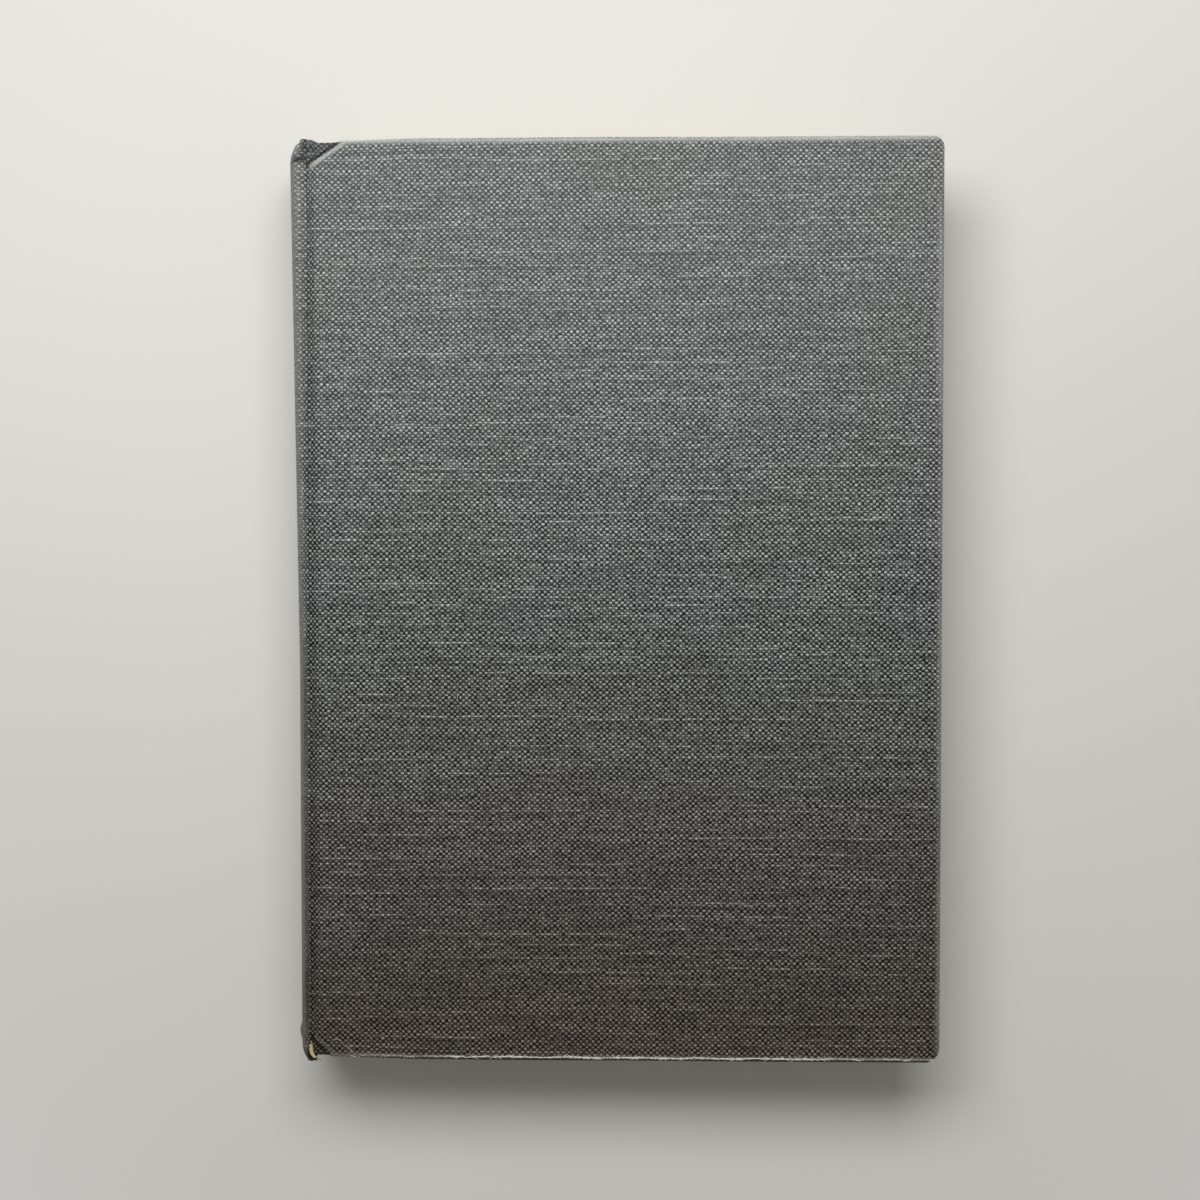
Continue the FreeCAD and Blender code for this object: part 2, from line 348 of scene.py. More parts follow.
def fold_edge(piece, border, out, down, depths, limits, full_depth, inward=None):
    """Folds the sheet's border over an edge and turns it in, ring by ring.

    Each border vertex has its own way out and down, depth of edge and furthest reach of the turn-in.
    Where the sheet's places are given, row by row from the border inward, the turn-in follows their shape.
    """
    at = points_of(piece)
    base = at[border]
    across, along = numbers_of(piece, "across")[border], numbers_of(piece, "along")[border]
    mark = np.full(len(at), -1.0)
    mark[border] = np.arange(len(border))
    give_numbers(piece, "border", mark)
    current = np.array(border)
    length, before = 0.0, (edge_radius, 0.0)
    for inset, drop in fold_rings(full_depth):
        length += math.hypot(inset - before[0], drop - before[1])
        before = (inset, drop)
        extrude_along(piece, np.stack([current[:-1], current[1:]], axis=1))
        new = np.flatnonzero(chosen(piece))
        spot = numbers_of(piece, "border")[new].round().astype(int)
        at = points_of(piece)
        reach = np.minimum(inset, limits[spot])
        sunk = drop * (depths[spot] / full_depth)
        at[new] = base[spot] + out[spot] * (edge_radius - reach)[:, None] + down[spot] * sunk[:, None]
        if inward is not None:
            row = np.rint(np.maximum(reach - edge_radius, 0) / weft_pitch).astype(int)
            followed = inward[row, spot] - inward[0, spot]
            at[new] += followed * (1, 0, 1)
        place_points(piece, at)
        for name, values, pitch, axis in (("across", across, warp_pitch, 0), ("along", along, weft_pitch, 1)):
            numbers = numbers_of(piece, name)
            numbers[new] = values[spot] + out[spot, axis] * length / pitch
            give_numbers(piece, name, numbers)
        current = np.empty(len(border), np.int64)
        current[spot] = new
        mark = np.full(len(at), -1.0)
        mark[new] = spot
        give_numbers(piece, "border", mark)
    piece.data.attributes.remove(piece.data.attributes["border"])


def slubs(columns, rows, count, seed):
    """Thick places in the weft: 1 along a slub and below 0 on the row under it, by row and column."""
    chance = np.random.default_rng(seed)
    field = np.zeros((rows, columns))
    for _ in range(count):
        row = chance.integers(2, rows - 2)
        length = int(8 * mm * chance.uniform(1, 2.9) ** 2 / warp_pitch)
        start = chance.integers(-length // 2, columns - length // 2)
        spread = np.arange(start, start + length)
        dashes = np.sin(spread * chance.uniform(0.25, 0.8) + chance.uniform(0, 6)) > -0.55
        strength = chance.uniform(0.8, 1.0) * np.where(dashes, 1, 0.3)
        inside = (spread >= 0) & (spread < columns)
        field[row, spread[inside]] += strength[inside]
        field[row - 1, spread[inside]] -= 0.9 * strength[inside]
    return np.clip(field, -1, 1)


def weave_relief(across, along):
    """How far each vertex lies below the highest threads: the weft stands prouder than the warp."""
    return -relief / 2 * (1 + np.sin(math.pi * across) * np.sin(math.pi * along))


def thread_map(piece):
    """The UV map that counts threads across and along, made from the numbers at the vertices."""
    mesh = piece.data
    while mesh.uv_layers:
        mesh.uv_layers.remove(mesh.uv_layers[0])
    layer = mesh.uv_layers.new(name="threads")
    corners = read_all(mesh.loops, "vertex_index", kind=np.int64)
    pair = np.stack([numbers_of(piece, "across")[corners], numbers_of(piece, "along")[corners]], axis=1)
    layer.uv.foreach_set("vector", pair.astype(np.float32).ravel())
    for name in ("across", "along"):
        mesh.attributes.remove(mesh.attributes[name])


def crush_distance(x, y, crush, side):
    """How far a point lies inside the diagonal of a crushed joint corner."""
    along, down = crush
    return ((x - cover_x) * down - (y * side - (head_y - down)) * along) / math.hypot(along, down)


def inside_crushed(x, y):
    """How far a point lies inside the diagonal of the crushed corner that is nearest."""
    return np.minimum(crush_distance(x, y, head_crush, 1), crush_distance(x, y, tail_crush, -1))


def cap_lump(x, y):
    """How far the torn cap at the head stands up over the corner of the front cover."""
    start = smooth(x, hinge_x - 1.6 * mm, hinge_x + 0.2 * mm)
    end = 1 - smooth(x, hinge_x + 2.2 * mm, hinge_x + 3.9 * mm)
    return cap_rise * (start * end) * smooth(y, head_y - 2.6 * mm, head_y - 1.2 * mm)


def crushed_height(height, inside):
    """The height of the cloth at a crushed corner, from how far it lies inside the diagonal."""
    return np.minimum(height, flap_z + (top_z - flap_z) * smooth(inside, -0.45 * mm, 0.75 * mm))


def cover_height(x, y, worn):
    """The outside of a cover above the table, with its joint and its crushed corners."""
    wear = 0.3 * mm * bump_at(y, 15 * mm, 60 * mm) if worn else 0.0
    rise = smooth(x - cover_x - wear, -1.85 * mm, 0.9 * mm)
    height = joint_border_z + (top_z - joint_border_z) * rise
    if worn:
        height = crushed_height(height, inside_crushed(x, y)) + cap_lump(x, y)
    return height


def length_along(points):
    """How far each point of a line is from its first, along the line."""
    return np.concatenate([[0], np.cumsum(np.linalg.norm(np.diff(points, axis=0), axis=1))])


def joint_line(worn):
    """The cloth from the foot of the ridge to the face: its places across, and its threads from the face."""
    x = np.linspace(joint_border_x, face_start_x, 12)
    height = cover_height(x, np.zeros_like(x), worn)
    run = length_along(np.stack([x, height], axis=1))
    return x, (run - run[-1]) / warp_pitch + 0.5


def cover_cloth(name, worn, seed):
    """The cloth of one cover, from the foot of the spine's ridge round head, fore edge and tail."""
    joint_x, joint_threads = joint_line(worn)
    face_count = int(round((fore_x - edge_radius - face_start_x) / warp_pitch)) + 1
    face_x = np.linspace(face_start_x, fore_x - edge_radius, face_count)
    x_line = np.concatenate([joint_x[:-1], face_x])
    x, y = np.meshgrid(x_line, row_places)
    across = np.tile(np.concatenate([joint_threads[:-1], np.arange(face_count) + 0.5]), (sheet_rows, 1))
    along = np.tile(np.arange(sheet_rows)[:, None] + 0.5, (1, len(x_line)))
    slub = slubs(len(x_line), sheet_rows, cover_slubs, seed)

    # The fore edge corners are rounded
    for radius, side in ((head_corner, 1), (tail_corner, -1)):
        corner_x, corner_y = x_line[-1] - radius, row_places[-1] - radius
        a = np.clip((x - corner_x) / radius, 0, 1)
        b = np.clip((y * side - corner_y) / radius, 0, 1)
        inside = (a > 0) & (b > 0)
        x = np.where(inside, corner_x + radius * a * np.sqrt(1 - b * b / 2), x)
        y = np.where(inside, side * (corner_y + radius * b * np.sqrt(1 - a * a / 2)), y)

    # The threads wander a little between the edges, and the edges are not quite straight
    calm = smooth(np.minimum(x - face_start_x, x_line[-1] - x), 0, 12 * mm)
    calm = calm * smooth(row_places[-1] - abs(y), 0, 12 * mm)
    moved_x = x + 0.16 * mm * drift(x, y, seed + 1, 70 * mm) * calm
    moved_y = y + 0.22 * mm * drift(x, y, seed + 2, 110 * mm) * calm
    bow = smooth(abs(y), head_y - 25 * mm, head_y) * smooth(x, cover_x, cover_x + 30 * mm)
    moved_y = moved_y + np.sign(y) * 0.14 * mm * bow * drift(x, y, seed + 3, 90 * mm)
    full = smooth(x, cover_x + 2 * mm, cover_x + 26 * mm)
    moved_y = moved_y + head_swell * full * smooth(y, head_y - 25 * mm, head_y)
    moved_y = moved_y - tail_swell * full * smooth(-y, -tail_y - 25 * mm, -tail_y)
    moved_y = moved_y - 0.25 * mm * worn * (1 - full) * smooth(y, head_y - 12 * mm, head_y)
    height = cover_height(moved_x, moved_y, worn)
    flat = smooth(x, cover_x, face_start_x)
    height = height + weave_relief(across, along) * flat * calm**0.1 + slub_rise * slub * flat
    height = height + 0.05 * mm * (drift(x, y, seed + 4, 60 * mm) - 1) * calm

    if worn:
        moved_y = moved_y + cap_push_on_cover * cap_lump(x, y)
    places = np.stack([moved_x, moved_y, height], axis=2)
    piece, index = woven_sheet(name, places, {"across": across, "along": along, "slub": slub})

    # Head, fore edge and tail are folded round the board
    border, base = (
        np.concatenate([grid[-1], grid[-2::-1, -1], grid[0, -2::-1]]) for grid in (index, places)
    )
    lead = np.roll(base, -1, axis=0) - np.roll(base, 1, axis=0)
    lead[0], lead[-1] = base[1] - base[0], base[-1] - base[-2]
    out = np.stack([-lead[:, 1], lead[:, 0], np.zeros(len(base))], axis=1)
    out /= np.linalg.norm(out, axis=1)[:, None]
    on_head = np.isin(border, index[-1, :-4])
    on_tail = np.isin(border, index[0, :-4])
    out[on_head] = (0, 1, 0)
    out[on_tail] = (0, -1, 0)
    in_board = smooth(base[:, 0], cover_x - 0.5 * mm, cover_x + 0.6 * mm)
    depths = base[:, 2] - (joint_inside_z + (under_z - joint_inside_z) * in_board)
    down = np.tile((0.0, 0.0, -1.0), (len(border), 1))
    to_fore = fore_x - base[:, 0]
    to_end = head_y - abs(base[:, 1])
    limits = np.where(on_head | on_tail, to_fore, to_end)
    limits = np.minimum(turn_in, np.maximum(limits, 1.6 * mm))
    fold_edge(piece, border, out, down, depths, limits, top_z - under_z)
    return piece


def close_cloth(piece, flat_side_z):
    """Gives the cloth its thickness, and takes the weave off the side that is glued down."""
    apply_modifier(piece, "SOLIDIFY", thickness=cloth * 0.95, offset=-1, use_even_offset=False)
    centres, normals = face_centres(piece), read_all(piece.data.polygons, "normal", 3)
    inner = (abs(normals[:, 2]) > 0.98) & (abs(centres[:, 2] - flat_side_z) < 0.12 * mm)
    inner &= (centres[:, 0] > cover_x + 1.3 * mm) & (centres[:, 0] < fore_x - 1.6 * mm)
    inner &= abs(centres[:, 1]) < head_y - 1.5 * mm
    inner &= inside_crushed(centres[:, 0], centres[:, 1]) > 1.5 * mm
    choose(piece, faces=inner)
    with editing(piece):
        bpy.ops.mesh.delete(type="FACE")
        bpy.ops.mesh.select_all(action="DESELECT")
        bpy.ops.mesh.select_mode(type="EDGE")
        bpy.ops.mesh.select_non_manifold(
            use_wire=False, use_boundary=True, use_multi_face=False, use_non_contiguous=False, use_verts=False
        )
        bpy.ops.mesh.edge_face_add()


def groove_shade(x):
    """How dark the joint's groove is painted: painted shade in its hollow."""
    return 0.14 * bump_at(x, cover_x - 1.3 * mm, 1.5 * mm)


def wear_and_painted_light_of_cover(piece, worn, seed):
    """Where the cloth is painted light and dark, as numbers at the vertices: rubbed edges, the head edge
    partly a painted highlight, a painted highlight along a crease, and painted shade in the groove, on the
    crushed flaps and on the tail edge.
    """
    x, y, z = points_of(piece).T
    rubbed = 0.5 + 0.5 * drift(x, y, seed + 7, 45 * mm)
    to_head, to_tail, to_fore = head_y - y, y - tail_y, fore_x - x
    # The back cover is rubbed only where its lowest threads touch the table
    outer = z > (under_z + top_z) / 2 if worn else z < 0
    # The head edge is partly rubbed and partly a painted highlight where it faces the light.
    at_head = bump_at(to_head, 0.25 * mm, 0.5 * mm) * (0.5 + 0.4 * rubbed)
    at_tail = bump_at(to_tail, 0.45 * mm, 0.25 * mm) * (0.25 + 0.4 * rubbed)
    at_fore = bump_at(to_fore, 0.3 * mm, 0.5 * mm) * (0.12 + 0.35 * rubbed)
    # A painted highlight along a crease near the fore edge.
    crease_highlight = bump_at(to_fore, 1.05 * mm, 0.28 * mm) * smooth(y, 30 * mm, 60 * mm)
    crease_highlight = 0.55 * crease_highlight * (1 - smooth(y, 88 * mm, 96 * mm))
    light = np.maximum.reduce((at_head, at_tail, at_fore, crease_highlight)) * outer * (1.0 if worn else 0.35)
    dark = groove_shade(x)
    if worn:
        near_head = crush_distance(x, y, head_crush, 1)
        near_tail = crush_distance(x, y, tail_crush, -1)
        head_rim = 0.9 * bump_at(near_head, 0.7 * mm, 0.5 * mm) * (z > fold_z)
        tail_rim = 0.3 * bump_at(near_tail, 0.6 * mm, 0.35 * mm) * (z > fold_z)
        light = np.maximum.reduce((light, head_rim, tail_rim))
        light = light * (1 - 0.8 * (np.minimum(near_head, near_tail) < -0.1 * mm))
        # The tail edge is painted darker: painted shade where it turns down, away from the light.
        frayed_and_shaded = 0.45 * (1 - smooth(to_tail, -0.15 * mm, 0.3 * mm)) * outer
        # The crushed flaps are painted darker, darkest along the fold: painted shade under the fold.
        head_fold = np.maximum(0.98 * bump_at(near_head, -0.45 * mm, 0.5 * mm), 0.5 * (near_head < -0.3 * mm))
        tail_fold = np.maximum(0.95 * bump_at(near_tail, -0.2 * mm, 0.36 * mm), 0.4 * (near_tail < -0.2 * mm))
        dark = np.maximum.reduce((dark, frayed_and_shaded, head_fold, tail_fold))
    give_numbers(piece, "light", np.clip(light, 0, 1))
    give_numbers(piece, "dark", np.clip(dark, 0, 1))


def spine_lean(y):
    """How far the spine leans to the right."""
    return lean - lean_slope * np.maximum(y, lean_from_y)


def spine_crush(y, z):
    """How far the ends of the spine are pushed in."""
    tail = tail_dent * (np.clip(tail_y + 3.2 * mm - y, 0, None) / (3.2 * mm)) ** 4
    tail = tail * smooth(z, middle_z + 3 * mm, ridge_z - 2 * mm)
    bulge = tail_bulge * bump_at(y, tail_y + 4.3 * mm, 1.1 * mm)
    head = head_dent * (1 - np.sqrt(1 - np.clip((y - head_y + 4.4 * mm) / (4.8 * mm), 0, 1) ** 2))
    return tail - bulge + head


def tail_droop(y, z):
    """How far the torn tail of the spine hangs out past the cover."""
    end = smooth(-y, -tail_y - 4 * mm, -tail_y)
    return droop * end * smooth(z, middle_z + 1 * mm, ridge_z - 5 * mm)


def cap_slump(y, z):
    """How far the cap at the head has slumped over the front ridge, from 0 to 1."""
    return smooth(y, head_y - 3.6 * mm, head_y) * smooth(z, middle_z + 4 * mm, ridge_z - 1 * mm)


def spine_section():
    """The spine's outline between the feet of its ridges: points, ways in, depths and shares.

    The share is 0 at the feet and 1 past the ridges.
    """
    crest_z = card_high.z - 0.05 * mm
    top = Vector((arc_x - math.sqrt(spine_radius**2 - (crest_z - middle_z) ** 2), crest_z))
    foot = Vector((joint_border_x + joint_lap, joint_border_z - 0.01 * mm))
    rise = Vector((0.39, 0.92)) * 0.8 * mm
    fall = Vector((-1.0, 0.05)) * 1.3 * mm
    controls = [foot, foot + fall, top + rise, top]
    ridge = []
    for step in range(ridge_steps):
        t = step / ridge_steps
        weights = ((1 - t) ** 3, 3 * (1 - t) ** 2 * t, 3 * (1 - t) * t * t, t**3)
        ridge.append(sum((p * w for p, w in zip(controls, weights)), Vector((0, 0))))
    half_turn = math.asin((crest_z - middle_z) / spine_radius)
    count = int(round(2 * half_turn * spine_radius / warp_pitch)) + 1
    turns = np.linspace(half_turn, -half_turn, count)
    arc = [Vector((arc_x - spine_radius * math.cos(t), middle_z + spine_radius * math.sin(t))) for t in turns]
    back = [Vector((p.x, 2 * middle_z - p.y)) for p in ridge[::-1]]
    points = np.array([tuple(p) for p in ridge + arc + back])
    lead = np.gradient(points, axis=0)
    into = np.stack([-lead[:, 1], lead[:, 0]], axis=1)
    into /= np.linalg.norm(into, axis=1)[:, None]
    steps = np.arange(len(points))
    from_end = np.minimum(steps, len(points) - 1 - steps) / ridge_steps
    share = smooth(from_end)
    straight = np.stack([np.zeros(len(points)), -np.sign(points[:, 1] - middle_z)], axis=1)
    into = straight * (1 - share)[:, None] + into * share[:, None]
    into /= np.linalg.norm(into, axis=1)[:, None]
    depth_at_foot = joint_border_z - joint_inside_z
    depths = depth_at_foot + (2 * cloth + 0.8 * mm - depth_at_foot) * share
    return points, into, depths, share


def cap_cracks(x, y, z):
    """The crack across the slumped cap at the head and its branch, each from 0 to 1."""
    ends = [photo_point(*pixel, ridge_z) for pixel in crack_pixels]
    crack_y = np.interp(x, [end[0] for end in ends], [end[1] for end in ends])
    crack_y = crack_y + 0.3 * mm * drift(x, y, 77, 3 * mm)
    crack = bump_at(y, crack_y - 0.3 * mm, 0.36 * mm) * smooth(z, ridge_z - 5 * mm, ridge_z - 1.5 * mm)
    start, end = (np.array(photo_point(*pixel, ridge_z)) for pixel in branch_pixels)
    length = np.linalg.norm(end - start)
    way = (end - start) / length
    far = (x - start[0]) * way[0] + (y - start[1]) * way[1]
    side = (x - start[0]) * -way[1] + (y - start[1]) * way[0]
    return crack, bump_at(side, 0, 0.25 * mm) * bump_at(far, length / 2, length * 0.6)


def spine_skin():
    """The cloth over the spine, from ridge to ridge, leaning as the real one does, with its worn ends."""
    points, into, depths, share = spine_section()
    columns = len(points)
    threads_at_border = joint_line(True)[1][0]
    y = np.tile(row_places[:, None], (1, columns))
    across = np.tile(threads_at_border - (length_along(points) - joint_lap) / warp_pitch, (sheet_rows, 1))
    along = np.tile(np.arange(sheet_rows)[:, None] + 0.5, (1, columns))
    z = np.tile(points[:, 1], (sheet_rows, 1))
    x = points[:, 0] + (spine_lean(y) + spine_crush(y, z)) * share
    slub = slubs(columns, sheet_rows, spine_slubs, 71)
    depth = (weave_relief(across, along) + slub_rise * slub) * share
    front = smooth(z, middle_z + 4 * mm, ridge_z - 1 * mm)
    dark = groove_shade(x) * front
    light = 0.16 * share * (0.8 + 0.4 * drift(y, z, 6, 60 * mm))

    # The head cap over the front ridge has slumped, and has cracked across
    slump = cap_slump(y, z) * share
    x = x + cap_slip * slump**1.5
    crack, branch = cap_cracks(x, y, z)
    depth = depth - cap_sinking * slump**2 - crack_depth * crack * share
    # The raised lobe of the cap is painted light, a painted highlight; the frayed cap around and below it is
    # painted dark, partly a brown stain and partly painted shade.
    lobe = bump_at(y, head_y - 1.5 * mm, 1.1 * mm) * bump_at(x, ridge_x + 0.4 * mm, 1.2 * mm) * front * share
    frayed_and_shaded = smooth(y, head_y - 3 * mm, head_y - 1 * mm) * front * share
    depth = depth + 0.4 * mm * lobe + 0.14 * mm * frayed_and_shaded * drift(x, y, 78, 1.9 * mm)
    shade_and_stain = frayed_and_shaded * (0.35 + 0.35 * drift(x, y, 79, 2.6 * mm)) * (1 - lobe)
    shade_at_foot = 0.5 * (1 - share) * front * smooth(y, head_y - 4.9 * mm, head_y - 4.3 * mm)
    # The crack, its branch and the foot of the ridge under the cap are painted dark: painted shade in the
    # hollows.
    dark = np.maximum.reduce((dark, shade_and_stain, crack, 0.8 * branch * front, shade_at_foot))
    # A painted highlight on the lobe.
    light = np.maximum(light, 0.45 * lobe)

    # Rubbed ridges
    ridge = bump_at(z, ridge_z - 0.1 * mm, 0.5 * mm) * share
    light = np.maximum(light, 0.3 * ridge * (0.6 + 0.4 * drift(x, y, 5, 30 * mm)))

    # The torn tail
    torn = smooth(-y, -tail_y - 3.2 * mm, -tail_y) * front
    # The torn end is painted darker, nearly black over its last rows.
    dark = np.maximum(dark, 0.45 * torn)
    dark = np.maximum(dark, 0.92 * smooth(-y, -tail_y - 1.9 * mm, -tail_y - 1.2 * mm) * front)
    depth = depth + 0.22 * mm * torn * drift(across * warp_pitch, y, 9, 2.4 * mm)

    # The foot of the front ridge follows the crushed corners and the cap
    lump = cap_lump(x, y) * front
    x = x - into[:, 0] * depth
    sunk = joint_border_z - crushed_height(joint_border_z, inside_crushed(x, y))
    z = z - sunk * (1 - share) * front
    y = y + cap_push_on_spine * lump - tail_droop(y, z) * share
    z = z - into[:, 1] * depth + lump
    places = np.stack([x, y, z], axis=2)
    fields = {"across": across, "along": along, "slub": slub, "light": light, "dark": dark}
    piece, index = woven_sheet("spine_skin", places, fields)
    for line, side, inward in ((index[-1], 1, places[::-1]), (index[0], -1, places)):
        out = np.tile((0.0, side, 0.0), (columns, 1))
        down = np.stack([into[:, 0], np.zeros(columns), into[:, 1]], axis=1)
        fold_edge(piece, line, out, down, depths, np.full(columns, turn_in), 2.0 * mm, inward)

    # The cloth has worn through along the front ridge at the tail
    centres = face_centres(piece)
    tear_y, tear_x = tear_line.T
    middle = np.interp(-centres[:, 1], -tear_y, tear_x)
    torn_out = (abs(centres[:, 0] - middle) < tear_width / 2) & (centres[:, 2] > tear_low_z)
    torn_out &= (centres[:, 1] < tear_y[0]) & (centres[:, 1] > tear_y[-1])
    choose(piece, faces=torn_out)
    with editing(piece):
        bpy.ops.mesh.delete(type="FACE")
    apply_modifier(piece, "SOLIDIFY", thickness=cloth * 0.9, offset=-1, use_even_offset=False)
    return piece


# Finishes


class Wire:
    """A value in a finish. Sums with it add Math nodes."""

    def __init__(self, finish, socket):
        self.finish = finish
        self.socket = socket

    def math(self, operation, *others, clamp=False):
        sockets = {number: value for number, value in enumerate((self, *others))}
        return self.finish.add("ShaderNodeMath", {"operation": operation, "use_clamp": clamp}, sockets)

    def reflected(self, operation, other):
        return self.finish.add("ShaderNodeMath", {"operation": operation}, {0: other, 1: self})

    def __add__(self, other):
        return self.math("ADD", other)

    def __radd__(self, other):
        return self.reflected("ADD", other)

    def __sub__(self, other):
        return self.math("SUBTRACT", other)

    def __rsub__(self, other):
        return self.reflected("SUBTRACT", other)

    def __mul__(self, other):
        return self.math("MULTIPLY", other)

    def __rmul__(self, other):
        return self.reflected("MULTIPLY", other)

    def __truediv__(self, other):
        return self.math("DIVIDE", other)

    def __pow__(self, other):
        return self.math("POWER", other)

    def ramp(self, start, end):
        """0 before start, 1 after end."""
        sockets = {"Value": self, "From Min": start, "From Max": end}
        return self.finish.add("ShaderNodeMapRange", {"interpolation_type": "SMOOTHSTEP"}, sockets)

    def fract(self):
        return self.math("FRACT")

    def floor(self):
        return self.math("FLOOR")

    def limited(self):
        return self.math("ADD", 0.0, clamp=True)


def colour(red, green, blue):
    """A colour from its 0 to 255 values, as the nodes take it."""
    parts = [part / 255 for part in (red, green, blue)]
    return (*[part / 12.92 if part <= 0.04045 else ((part + 0.055) / 1.055) ** 2.4 for part in parts], 1.0)


class Finish:
    """The nodes of one procedural material, or of the room around."""

    def __init__(self, holder):
        self.holder = holder
        holder.use_nodes = True
        self.tree = holder.node_tree
        self.tree.nodes.clear()

    @classmethod
    def named(cls, name):
        return cls(bpy.data.materials.new(name))

    def end(self, kind, socket_name, shader):
        """Joins the shader to the end of the tree."""
        last = self.tree.nodes.new(kind)
        self.tree.links.new(shader.socket, last.inputs[socket_name])

    def add(self, kind, settings, sockets, output=0):
        """Adds a node: its settings first, then the values or wires of its sockets."""
        node = self.tree.nodes.new(kind)
        for name, value in settings.items():
            setattr(node, name, value)
        for name, value in sockets.items():
            if isinstance(value, Wire):
                self.tree.links.new(value.socket, node.inputs[name])
            else:
                node.inputs[name].default_value = value
        return Wire(self, node.outputs[output])

    def places(self):
        """The place on the piece, in metres."""
        return self.add("ShaderNodeTexCoord", {}, {}, "Object")

    def parts(self, vector):
        split = self.add("ShaderNodeSeparateXYZ", {}, {"Vector": vector})
        return [Wire(self, split.socket.node.outputs[n]) for n in range(3)]

    def joined(self, x, y, z=0.0):
        return self.add("ShaderNodeCombineXYZ", {}, {0: x, 1: y, 2: z})

    def stretched(self, vector, x, y, z):
        return self.add("ShaderNodeVectorMath", {"operation": "MULTIPLY"}, {0: vector, 1: (x, y, z)})

    def noise(self, vector, scale, detail=2.0, roughness=0.5):
        sockets = {"Vector": vector, "Scale": scale, "Detail": detail, "Roughness": roughness}
        return self.add("ShaderNodeTexNoise", {"noise_dimensions": "3D"}, sockets)

    def chance(self, vector):
        """A random number for each whole-numbered place."""
        return self.add("ShaderNodeTexWhiteNoise", {"noise_dimensions": "2D"}, {"Vector": vector})

    def number(self, name):
        """The piece's own number at each vertex."""
        return self.add("ShaderNodeAttribute", {"attribute_name": name}, {}, "Fac")

    def mix(self, factor, first, second, blend="MIX"):
        settings = {"data_type": "RGBA", "blend_type": blend, "clamp_factor": True}
        return self.add("ShaderNodeMix", settings, {0: factor, 6: first, 7: second}, 2)

    def bump(self, height, strength, distance):
        return self.add("ShaderNodeBump", {}, {"Height": height, "Strength": strength, "Distance": distance})

    def surface(self, base, roughness, normal, specular=0.5):
        sockets = {"Base Color": base, "Roughness": roughness, "Normal": normal}
        sockets["Specular IOR Level"] = specular
        shader = self.add("ShaderNodeBsdfPrincipled", {}, sockets)
        self.end("ShaderNodeOutputMaterial", "Surface", shader)
        return self.holder


def plain_weave(finish, across, along):
    """A plain weave: its height, how much weft and warp shows, which is on top, and the crossing's number."""
    column, row = across.floor(), along.floor()
    round_across = ((across - column - 0.5) * math.pi).math("COSINE")
    round_along = ((along - row - 0.5) * math.pi).math("COSINE")
    weft_on_top = ((column + row) * 0.5).fract() * 2
    warp = round_across**0.8 * (0.3 + 0.7 * round_along)
    weft = round_along**0.8 * (0.3 + 0.7 * round_across)
    height = warp * (1 - weft_on_top) * 0.55 + weft * weft_on_top
    weft_shown = weft_on_top * round_along**0.8 * (0.45 + 0.55 * round_across)
    warp_shown = (1 - weft_on_top) * round_across**0.8 * (0.45 + 0.55 * round_along)
    return height, weft_shown, warp_shown, weft_on_top, column, row


